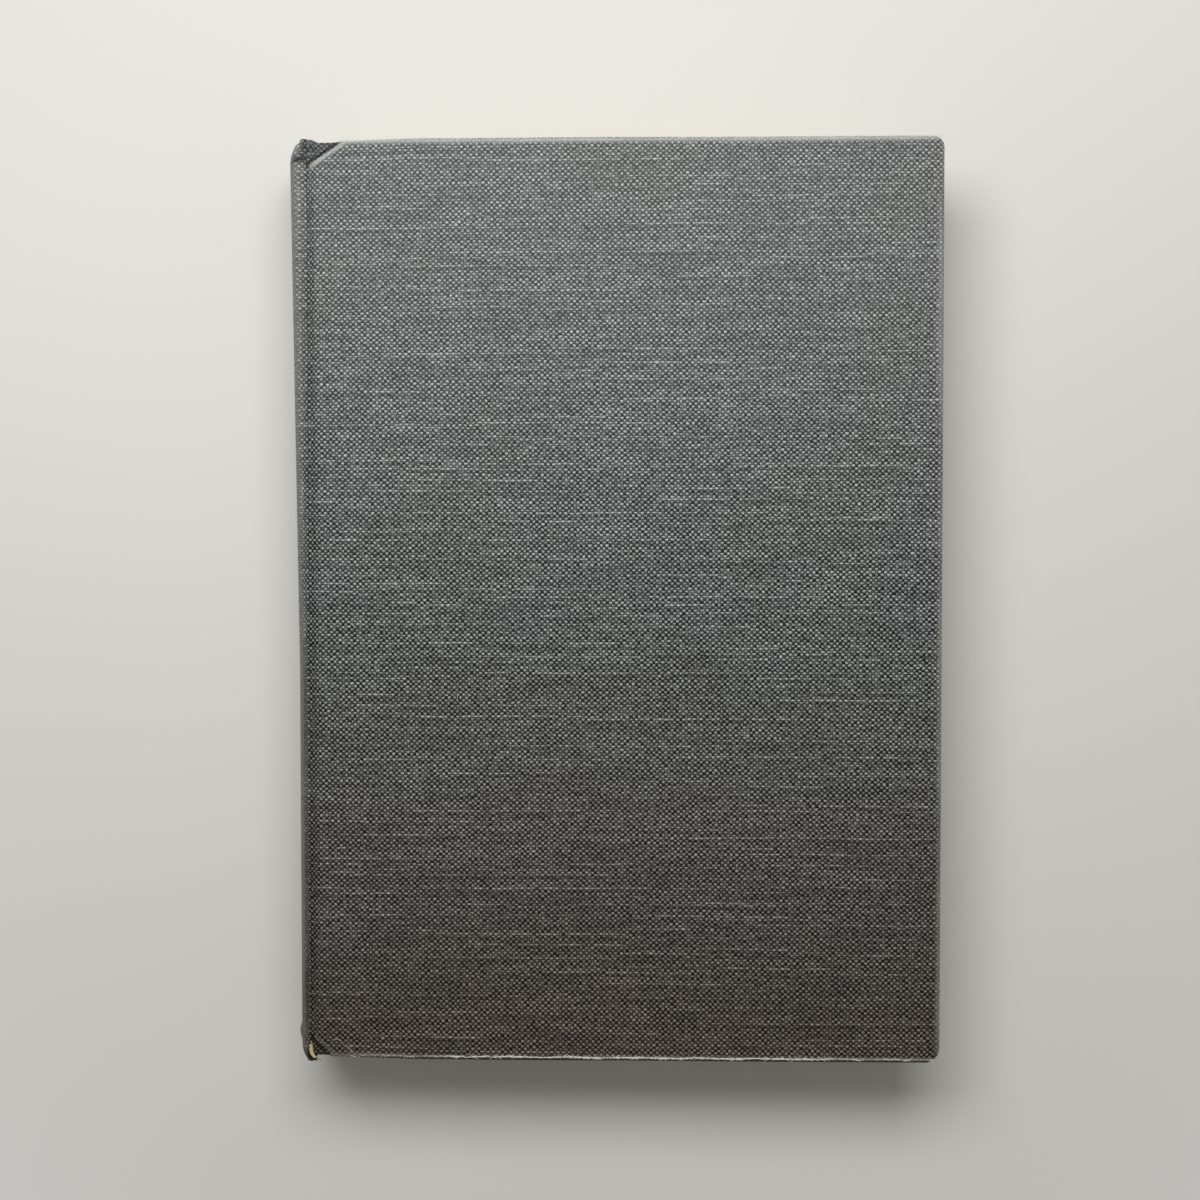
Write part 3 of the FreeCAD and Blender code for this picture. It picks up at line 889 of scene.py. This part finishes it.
def linen_cloth(name):
    """Dark linen book cloth: a plain weave with slubs, rubbed light on its edges, with painted shade in the
    weave's gaps, under slubs and towards the tail, and a painted sheen towards the head.
    """
    finish = Finish.named(name)
    place = finish.places()
    threads = finish.add("ShaderNodeUVMap", {"uv_map": "threads"}, {})
    across, along, _ = finish.parts(threads)
    across = across + (finish.noise(finish.joined(across * 0.34, along * 0.34), 1.0, 3.0, 0.6) - 0.5) * 1.5
    along = along + (finish.noise(finish.joined(across * 0.34, along * 0.34, 5.0), 1.0, 3.0, 0.6) - 0.5) * 1.4
    height, weft_shown, warp_shown, weft_on_top, column, row = plain_weave(finish, across, along)

    # No two crossings are alike, and a thread is thicker and lighter along parts of its length
    each = finish.chance(finish.joined(column, row))
    thread_tone_and_shading = weft_shown * (0.82 + 0.46 * each) + warp_shown * (0.34 * each**2)
    weft_part = finish.noise(finish.joined(across * 0.035, row * 7.3), 1.0, 1.0).ramp(0.4, 0.64)
    warp_part = finish.noise(finish.joined(column * 7.3, along * 0.035, 9.0), 1.0, 1.0).ramp(0.36, 0.64)
    weft_fibre = finish.noise(finish.joined(across * 0.9, along * 7.0), 1.0)
    warp_fibre = finish.noise(finish.joined(across * 7.0, along * 0.9), 1.0)
    fibre = weft_on_top * weft_fibre + (1 - weft_on_top) * warp_fibre
    slub = finish.number("slub").ramp(0.5, 0.75)
    under_slub = finish.number("slub").ramp(-0.5, -0.75)
    light, dark = finish.number("light"), finish.number("dark")
    cloud = finish.noise(place, 24.0, 3.0, 0.55)

    _, place_y, _ = finish.parts(place)
    # Darker towards the tail: painted shade standing in for the light falling off away from the head.
    painted_tail_shade = place_y.ramp(0.1, -0.12)
    tone = thread_tone_and_shading * (0.79 + 0.38 * weft_part + 0.1 * warp_part)
    tone = tone + slub * (0.12 + 0.18 * weft_part + 0.22 * thread_tone_and_shading)
    # The row under a slub is painted darker: a painted shadow of the raised slub, over a real dip.
    tone = tone * (1 - 0.45 * under_slub) * (0.8 + 0.4 * fibre)
    tone = tone * (0.9 + 0.2 * cloud) * (0.95 - 0.48 * painted_tail_shade)
    # Paler towards the head, the gaps most: a painted sheen.
    painted_head_sheen = place_y.ramp(-0.01, 0.11)
    tone = tone * (1 - 0.22 * painted_head_sheen) * (1 - 1.4 * light) + 0.1 * painted_head_sheen + 0.45 * light
    tops = finish.mix(cloud.ramp(0.35, 0.7), colour(184, 190, 187), colour(182, 190, 189))
    # The tone follows each thread's rounded profile: near black in the gaps between threads, which is painted
    # shade, and lightest on the crowns, partly lighter worn tops and partly a painted highlight.
    clean = finish.mix(tone.limited(), colour(14, 12, 10), tops)
    # Towards the tail the colour is also multiplied warmer and darker.
    base = finish.mix(place_y.ramp(0.01, -0.13), clean, colour(255, 224, 208), "MULTIPLY")

    # The light numbers carry rubbed edges and painted highlights alike, the dark numbers painted shade and
    # stains; the rubbed colour below is also where the painted highlights are laid on.
    rub_and_highlight = light * (0.5 + 0.5 * height) * (0.4 + finish.noise(place, 900.0, 2.0)) * 1.1
    rubbed = finish.mix(rub_and_highlight.limited(), base, colour(206, 205, 197))
    painted_shade_and_stain = (dark * (1.15 - 0.3 * fibre)).limited()
    final = finish.mix(painted_shade_and_stain, rubbed, colour(22, 20, 18))
    hills = height + slub * 0.4 - under_slub * 0.2 + (fibre - 0.5) * 0.3
    normal = finish.bump(hills, 1.0, 0.1 * mm)
    return finish.surface(final, 0.54 - 0.08 * height + 0.3 * light, normal, specular=0.24)


def page_edges(name):
    """The cut edges of the leaves: fine lines of painted shade between them, browned with age and dust."""
    finish = Finish.named(name)
    place = finish.places()
    _, _, z = finish.parts(place)
    leaves = finish.noise(finish.stretched(place, 6.0, 6.0, 5200.0), 1.0, 3.0, 0.65)
    sections = finish.noise(finish.stretched(place, 4.0, 4.0, 900.0), 1.0, 1.0)
    dust = finish.noise(place, 60.0, 3.0)
    # The darker lines between leaves and sections are painted shade.
    tone = (0.15 + 0.6 * leaves + 0.35 * sections).limited()
    paper = finish.mix(tone, colour(168, 150, 120), colour(232, 220, 194))
    aged = finish.mix(dust.ramp(0.45, 0.8) * 0.5, paper, colour(184, 163, 128))
    normal = finish.bump(leaves + sections, 0.6, 0.12 * mm)
    return finish.surface(aged, 0.82 + 0.1 * dust, normal)


def laid_paper(name, light, browned, tooth):
    """A sheet of plain paper, foxed here and there and browned in patches."""
    finish = Finish.named(name)
    place = finish.places()
    patches = finish.noise(place, 26.0, 3.0)
    fibres = finish.noise(place, 1400.0, 2.0)
    spots = finish.noise(place, 210.0, 2.0).ramp(0.7, 0.78)
    paper = finish.mix(patches.ramp(0.3, 0.75), light, browned)
    foxed = finish.mix(spots * 0.35, paper, colour(150, 112, 70))
    normal = finish.bump(fibres, tooth, 0.03 * mm)
    return finish.surface(foxed, 0.74 + 0.14 * fibres, normal)


def fibre_board(name, light, dark):
    """Pressed board or card, with flecks of fibre."""
    finish = Finish.named(name)
    place = finish.places()
    flecks = finish.noise(finish.stretched(place, 900.0, 500.0, 2600.0), 1.0, 3.0, 0.6)
    clouds = finish.noise(place, 90.0, 2.0)
    tone = (flecks * 0.8 + clouds * 0.4 - 0.1).limited()
    board = finish.mix(tone, dark, light)
    normal = finish.bump(flecks, 0.6, 0.06 * mm)
    return finish.surface(board, 0.8 + 0.12 * flecks, normal)


def open_weave(name, thread_colour, gap_colour, pitch, axes):
    """A loosely woven cotton, with its threads along two directions of the piece."""
    finish = Finish.named(name)
    parts = finish.parts(finish.places())
    across, along = (parts[axis] / pitch for axis in axes)
    height, _, _, _, column, row = plain_weave(finish, across, along)
    each = finish.chance(finish.joined(column, row))
    tone = (height * (0.7 + 0.5 * each)).limited()
    body = finish.mix(tone, gap_colour, thread_colour)
    normal = finish.bump(height, 0.8, 0.12 * mm)
    return finish.surface(body, 0.78 + 0.12 * tone, normal)


def spun_thread(name, light, dark, scale):
    """Thread with its twist and its stray fibres."""
    finish = Finish.named(name)
    place = finish.places()
    twist = finish.noise(finish.stretched(place, scale, scale * 0.4, scale), 1.0, 2.0)
    body = finish.mix(twist.ramp(0.3, 0.7), dark, light)
    normal = finish.bump(twist, 0.5, 0.04 * mm)
    return finish.surface(body, 0.62 + 0.25 * twist, normal)


def band_stripes(name):
    """Silk over the headbands, in two colours by turns."""
    finish = Finish.named(name)
    place = finish.places()
    _, _, z = finish.parts(place)
    turn = (z / (1.8 * mm)).fract()
    stripe = turn.ramp(0.44, 0.5) * (1 - turn.ramp(0.94, 1.0))
    fuzz = finish.noise(finish.stretched(place, 2400.0, 2400.0, 600.0), 1.0, 2.0)
    silk = finish.mix(stripe, colour(196, 186, 164), colour(74, 72, 70))
    worn = finish.mix(fuzz.ramp(0.35, 0.75) * 0.5, silk, colour(122, 112, 98))
    normal = finish.bump(fuzz, 0.5, 0.05 * mm)
    return finish.surface(worn, 0.5 + 0.3 * fuzz, normal)


# The room, and how far from the book the floor starts and ends fading into it
room_colour = colour(226, 226, 224)
fade_start, fade_end = 0.12, 0.42


def pale_floor(name):
    """A floor that fades, for the camera alone, into the pale room away from the book."""
    finish = Finish.named(name)
    place = finish.places()
    x, y, _ = finish.parts(place)
    away = (x * x + y * y) ** 0.5
    grain = finish.noise(place, 3.0, 2.0)
    body = finish.mix(grain.ramp(0.2, 0.8), colour(222, 220, 215), colour(226, 224, 219))
    seen = finish.add("ShaderNodeLightPath", {}, {}, "Is Camera Ray")
    near = finish.add("ShaderNodeBsdfPrincipled", {}, {"Base Color": body, "Roughness": 0.8 + 0.1 * grain})
    far = finish.add("ShaderNodeEmission", {}, {"Color": room_colour, "Strength": 1.0})
    both = finish.add("ShaderNodeMixShader", {}, {0: away.ramp(fade_start, fade_end) * seen, 1: near, 2: far})
    finish.end("ShaderNodeOutputMaterial", "Surface", both)
    return finish.holder


def dress(piece, material):
    piece.data.materials.clear()
    piece.data.materials.append(material)


# The pieces
linen = linen_cloth("dark_linen")
endpaper = laid_paper("endpaper", colour(228, 218, 193), colour(217, 204, 175), 0.5)
silk = band_stripes("band_silk")


def turned_over(piece):
    """Turns a piece of the front cover into one of the back cover."""
    at = points_of(piece)
    at[:, 2] = 2 * middle_z - at[:, 2]
    place_points(piece, at)
    outward(piece)


def bends_with(piece, name):
    """Bakes the piece's place into its mesh; the level of its hinge is worked out but not used."""
    level = hinge_z if name == "front" else 2 * middle_z - hinge_z
    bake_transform(piece)


def cover_in_cloth(name, worn, seed):
    """The finished cloth of one cover."""
    piece = cover_cloth(f"{name}_cloth", worn, seed)
    close_cloth(piece, board_high.z)
    if name == "back":
        turned_over(piece)
    wear_and_painted_light_of_cover(piece, worn, seed)
    thread_map(piece)
    dress(piece, linen)
    smooth_shaded(piece)
    bends_with(piece, name)
    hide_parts(f"{name}_cover_cloth")


cover_in_cloth("front", True, 11)
cover_in_cloth("back", False, 41)

spine_cloth = spine_skin()
thread_map(spine_cloth)
dress(spine_cloth, linen)
smooth_shaded(spine_cloth)
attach(spine_cloth, "block")
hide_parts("spine_cloth")


def spine_card():
    """The card strip inside the spine, leaning and crushed with its cloth."""
    piece = added(
        "spine_card",
        bpy.ops.mesh.primitive_cylinder_add,
        vertices=256,
        radius=spine_radius - cloth,
        depth=card_high.y - card_low.y,
        end_fill_type="NOTHING",
        location=(arc_x, 0, middle_z),
        rotation=(math.pi / 2, 0, 0),
    )
    settle_place(piece)
    centres = face_centres(piece)
    choose(piece, faces=(abs(centres[:, 2] - middle_z) > half_chord + 0.8 * mm) | (centres[:, 0] > arc_x))
    near_ends = np.arange(0.4, 5.2, 0.3) * mm
    levels = [*(tail_y + near_ends), *(head_y - near_ends), *np.linspace(tail_y, head_y, 21)[1:-1]]
    with editing(piece):
        bpy.ops.mesh.delete(type="FACE")
        for side in (1, -1):
            bpy.ops.mesh.select_all(action="SELECT")
            edge = (0, 0, middle_z + side * half_chord)
            bpy.ops.mesh.bisect(plane_co=edge, plane_no=(0, 0, side), clear_outer=True)
        for level in levels:
            bpy.ops.mesh.select_all(action="SELECT")
            bpy.ops.mesh.bisect(plane_co=(0, level, 0), plane_no=(0, 1, 0))
    apply_modifier(piece, "SOLIDIFY", thickness=card_thickness, offset=-1)
    x, y, z = points_of(piece).T
    slump = cap_slump(y, z)
    sunk = smooth(y, head_y - 5 * mm, head_y - 3.8 * mm) * smooth(z, ridge_z - 5 * mm, ridge_z - 1 * mm)
    x = x + spine_lean(y) + spine_crush(y, z) + 1.1 * mm * slump**1.5 + 0.3 * mm * sunk
    y = y - 0.8 * tail_droop(y, z)
    z = z - cap_sinking * slump**2 - 0.55 * mm * sunk
    place_points(piece, np.stack([x, y, z], axis=1))
    outward(piece)
    return piece


card = spine_card()
dress(card, fibre_board("card", colour(222, 208, 168), colour(168, 148, 108)))
smooth_shaded(card)
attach(card, "block")
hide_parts("spine_inlay")


def leaf_edges():
    """The block of pages, built up leaf by leaf so that its cut edges are uneven."""
    chance = np.random.default_rng(3)
    radius = arc_x - pages_low.x
    flat_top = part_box("front_flyleaf")[0].z
    lowest, highest = 2 * middle_z - flat_top, flat_top
    half_height = highest - middle_z
    width = pages_high.x - (arc_x - math.sqrt(radius**2 - half_height**2))
    length = pages_high.y - pages_low.y
    count = int(round((highest - lowest) / paper_thickness))
    leaf = (highest - lowest) / count
    leaves_per_section = 10

    def middle_at(z):
        return arc_x - math.sqrt(radius**2 - (z - middle_z) ** 2) + width / 2

    piece = added("leaves", bpy.ops.mesh.primitive_grid_add, x_subdivisions=1, y_subdivisions=1, size=1)
    centre_x, inset, section_inset = middle_at(lowest), 0.0, 0.0
    with editing(piece):
        bpy.ops.mesh.select_all(action="SELECT")
        bpy.ops.transform.resize(value=(width, length, 1))
        bpy.ops.transform.translate(value=(centre_x, 0, lowest))
        for number in range(count):
            z = lowest + number * leaf
            if number % leaves_per_section == 0:
                section_inset = chance.uniform(0, 0.16) * mm
            new_inset = section_inset + chance.uniform(0, 0.11) * mm
            new_x = middle_at(z + leaf / 2)
            stretch = [(side - 2 * new_inset) / (side - 2 * inset) for side in (width, length)]
            bpy.ops.mesh.extrude_region_move()
            bpy.ops.transform.resize(value=(*stretch, 1), center_override=(centre_x, 0, z))
            bpy.ops.transform.translate(value=(new_x - centre_x, 0, 0))
            bpy.ops.mesh.extrude_region_move(TRANSFORM_OT_translate={"value": (0, 0, leaf)})
            centre_x, inset = new_x, new_inset
    outward(piece)
    return piece


leaves = leaf_edges()
dress(leaves, page_edges("leaf_edges"))
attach(leaves, "block")
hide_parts("text_block")

finishes = {
    "front_board": fibre_board("grey_board", colour(164, 156, 142), colour(96, 90, 80)),
    "front_flyleaf": endpaper,
    "front_pastedown": endpaper,
    "front_mull_flap": open_weave("mull", colour(214, 204, 180), colour(150, 136, 108), 0.9 * mm, (0, 1)),
    "spine_mull": open_weave("spine_mull", colour(214, 204, 180), colour(150, 136, 108), 0.9 * mm, (2, 1)),
    "spine_lining": laid_paper("kraft_lining", colour(176, 138, 94), colour(146, 110, 72), 0.8),
    "sewing_thread": spun_thread("linen_thread", colour(222, 210, 182), colour(168, 150, 118), 3000.0),
}
finishes["back_board"] = finishes["front_board"]
finishes["back_flyleaf"] = finishes["back_pastedown"] = endpaper
finishes["back_mull_flap"] = finishes["front_mull_flap"]
for node, material in finishes.items():
    dress(frame["nodes"][node], material)


def hinge_paper(name):
    """The strip of endpaper that bends in the joint, from the flyleaf to the pastedown."""
    grid = bpy.ops.mesh.primitive_grid_add
    piece = added(f"{name}_hinge_paper", grid, x_subdivisions=14, y_subdivisions=60, size=2)
    at = points_of(piece)
    share = (at[:, 0] + 1) / 2
    x = paper_fold_x + (cover_x + 0.2 * mm - paper_fold_x) * share
    z = paper_fold_z + (pastedown_middle_z - paper_fold_z) * smooth(share)
    place_points(piece, np.stack([x, at[:, 1] * (pages_high.y - 0.1 * mm), z], axis=1))
    apply_modifier(piece, "SOLIDIFY", thickness=paper_thickness, offset=0)
    if name == "back":
        turned_over(piece)
    else:
        outward(piece)
    dress(piece, endpaper)
    smooth_shaded(piece)
    bends_with(piece, name)


def headband(name, side):
    """Silk wound in loops round a cord, along the curve of the spine."""
    low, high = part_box(name)
    radius = arc_x - low.x - band_loop - band_silk
    half_turn = math.asin(((high.z - low.z) / 2 - band_silk) / radius)
    count = int(round(2 * half_turn * radius / (1.75 * band_silk)))
    place_y = side * (pages_high.y + band_loop + band_silk + 0.1 * mm)
    loops = []
    for number in range(count + 1):
        turn = half_turn * (2 * number / count - 1)
        loop = added(
            f"{name}_silk",
            bpy.ops.mesh.primitive_torus_add,
            major_radius=band_loop,
            minor_radius=band_silk,
            major_segments=12,
            minor_segments=6,
            location=(arc_x - radius * math.cos(turn), place_y, middle_z + radius * math.sin(turn)),
            rotation=(0, turn, 0),
        )
        loops.append(loop)
    deselect_all()
    for loop in loops:
        loop.select_set(True)
    bpy.context.view_layer.objects.active = loops[0]
    bpy.ops.object.join()
    piece = bpy.context.object
    piece.name = f"{name}_silk"
    settle_place(piece)
    dress(piece, silk)
    smooth_shaded(piece)
    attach(piece, "block")
    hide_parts(name)


def strands(name, lines, thickness, material, body):
    """Fine strands along lines of points. Each line has its own share of the thickness."""
    piece = added(name, bpy.ops.curve.primitive_bezier_curve_add)
    curve = piece.data
    curve.splines.clear()
    curve.dimensions = "3D"
    curve.bevel_depth = thickness / 2
    curve.bevel_resolution = 0
    curve.use_fill_caps = True
    for line, share in lines:
        spline = curve.splines.new("POLY")
        spline.points.add(len(line) - 1)
        for point, place in zip(spline.points, line):
            point.co = (*place, 1)
            point.radius = share
    bpy.ops.object.convert(target="MESH")
    dress(piece, material)
    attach(piece, body)
    return piece


def lying_strand(chance, x, y, z, length, turn, curl):
    """A short strand that lies near a place, bent a little."""
    steps = np.linspace(-0.5, 0.5, 5)
    bend = chance.uniform(-curl, curl)
    along = steps * length
    aside = bend * (steps**2 - 0.08) * length
    lift = chance.uniform(0, 0.12) * mm * (1 - (2 * steps) ** 2)
    px = x + along * math.cos(turn) - aside * math.sin(turn)
    py = y + along * math.sin(turn) + aside * math.cos(turn)
    return [(a, b, z + c) for a, b, c in zip(px, py, lift)]


def frayed_edges():
    """The fibres that stand out of the rubbed edges of the front cover, and the lint on its face."""
    chance = np.random.default_rng(29)
    lines = []

    def any_way():
        return chance.uniform(0, math.pi)

    def along_edge():
        return chance.normal(0, 0.2)

    def add_fibre(x, y, z, lengths, way, curl, shares):
        length = chance.uniform(*lengths) * mm
        line = lying_strand(chance, x, y, z, length, way(), curl)
        lines.append((line, chance.uniform(*shares)))

    for _ in range(tail_fibres):
        x = chance.uniform(-62, 73) * mm
        strong = 0.15 + 0.85 * float(smooth(x, -48 * mm, -30 * mm) * (1 - smooth(x, 45 * mm, 62 * mm)))
        if chance.random() > strong:
            continue
        inset = (0.36 + 0.17 * float(drift(x, 0, 33, 14 * mm)) + chance.uniform(-0.06, 0.06)) * mm
        add_fibre(x, tail_y + inset, top_z - 0.03 * mm, (0.5, 2.6), along_edge, 0.5, (0.6, 1.2))
    for _ in range(head_fibres):
        x = chance.uniform(-62, 74) * mm
        drop = chance.beta(1.1, 2.6) * 0.7 * mm
        out = edge_radius * (math.sin(math.acos(1 - drop / edge_radius)) - 1)
        y = head_y + out + chance.uniform(0.2, 0.35) * mm
        add_fibre(x, y, top_z - drop, (0.25, 0.9), any_way, 0.8, (0.3, 0.7))
    for _ in range(lint_fibres):
        x, y = chance.uniform(-64, 72) * mm, chance.uniform(-102, 102) * mm
        add_fibre(x, y, top_z + 0.02 * mm, (0.3, 1.3), any_way, 1.2, (0.4, 0.8))
    pale = spun_thread("frayed_fibre", colour(244, 243, 238), colour(206, 203, 195), 3000.0)
    strands("frayed_edges", lines, 0.1 * mm, pale, "front_cover")


def torn_threads():
    """The dark threads that hang out of the spine's torn tail, and the grey ones on the cover beside it."""
    chance = np.random.default_rng(31)
    dark_lines = []
    for _ in range(22):
        x, y, z = (chance.uniform(*span) * mm for span in torn_place)
        sideways, out, down = (chance.uniform(*span) * mm for span in torn_hang)
        curl = chance.uniform(-0.3, 0.3) * mm
        line = []
        for step in np.linspace(0, 1, 6):
            swing = curl * math.sin(math.pi * step)
            line.append((x + sideways * step + swing, y - out * step, z - down * step**1.5))
        dark_lines.append((line, chance.uniform(0.6, 1.0)))
    black = spun_thread("torn_thread", colour(46, 44, 42), colour(18, 17, 16), 3000.0)
    strands("torn_threads", dark_lines, 0.2 * mm, black, "block")
    grey_lines = []
    for start, end in grey_threads:
        line = []
        for step in np.linspace(0, 1, 8):
            x = (start[0] + (end[0] - start[0]) * step) * mm
            y = (start[1] + (end[1] - start[1]) * step + 0.35 * math.sin(math.pi * step)) * mm
            line.append((x, y, top_z + 0.05 * mm))
        grey_lines.append((line, 1.0))
    grey = spun_thread("grey_thread", colour(186, 184, 178), colour(128, 126, 120), 3000.0)
    strands("loose_threads", grey_lines, 0.16 * mm, grey, "front_cover")


for cover in ("front", "back"):
    hinge_paper(cover)
headband("head_band", 1)
headband("tail_band", -1)
frayed_edges()
torn_threads()


def floor():
    piece = added("floor", bpy.ops.mesh.primitive_plane_add, size=6, location=(0, 0, -0.2 * mm))
    dress(piece, pale_floor("pale_floor"))


def soft_light(name, place, target, width, depth, power):
    lamp = bpy.data.lights.new(name, "AREA")
    lamp.shape = "RECTANGLE"
    lamp.size, lamp.size_y = width, depth
    lamp.energy = power
    thing = bpy.data.objects.new(name, lamp)
    bpy.context.scene.collection.objects.link(thing)
    thing.location = place
    thing.rotation_euler = (Vector(target) - Vector(place)).to_track_quat("-Z", "Y").to_euler()


def surroundings():
    """An even pale room, a little dimmer for the light it gives than for what the camera sees."""
    world = bpy.data.worlds.new("room")
    bpy.context.scene.world = world
    room = Finish(world)
    seen = room.add("ShaderNodeLightPath", {}, {}, "Is Camera Ray")
    dim = room.add("ShaderNodeBackground", {}, {"Color": colour(240, 238, 234), "Strength": 0.24})
    pale = room.add("ShaderNodeBackground", {}, {"Color": room_colour, "Strength": 1.0})
    both = room.add("ShaderNodeMixShader", {}, {0: seen, 1: dim, 2: pale})
    room.end("ShaderNodeOutputWorld", "Surface", both)


def camera():
    data = bpy.data.cameras.new("camera")
    data.angle = photo_angle
    data.clip_start, data.clip_end = 0.01, 20
    thing = bpy.data.objects.new("camera", data)
    bpy.context.scene.collection.objects.link(thing)
    thing.location = camera_place
    thing.rotation_euler = camera_turn
    bpy.context.scene.camera = thing


floor()
surroundings()
soft_light("window", (-0.05, 0.27, 0.48), (-0.01, 0.06, 0), 0.5, 0.24, 2.8)
camera()
bpy.context.scene.view_settings.view_transform = "Standard"
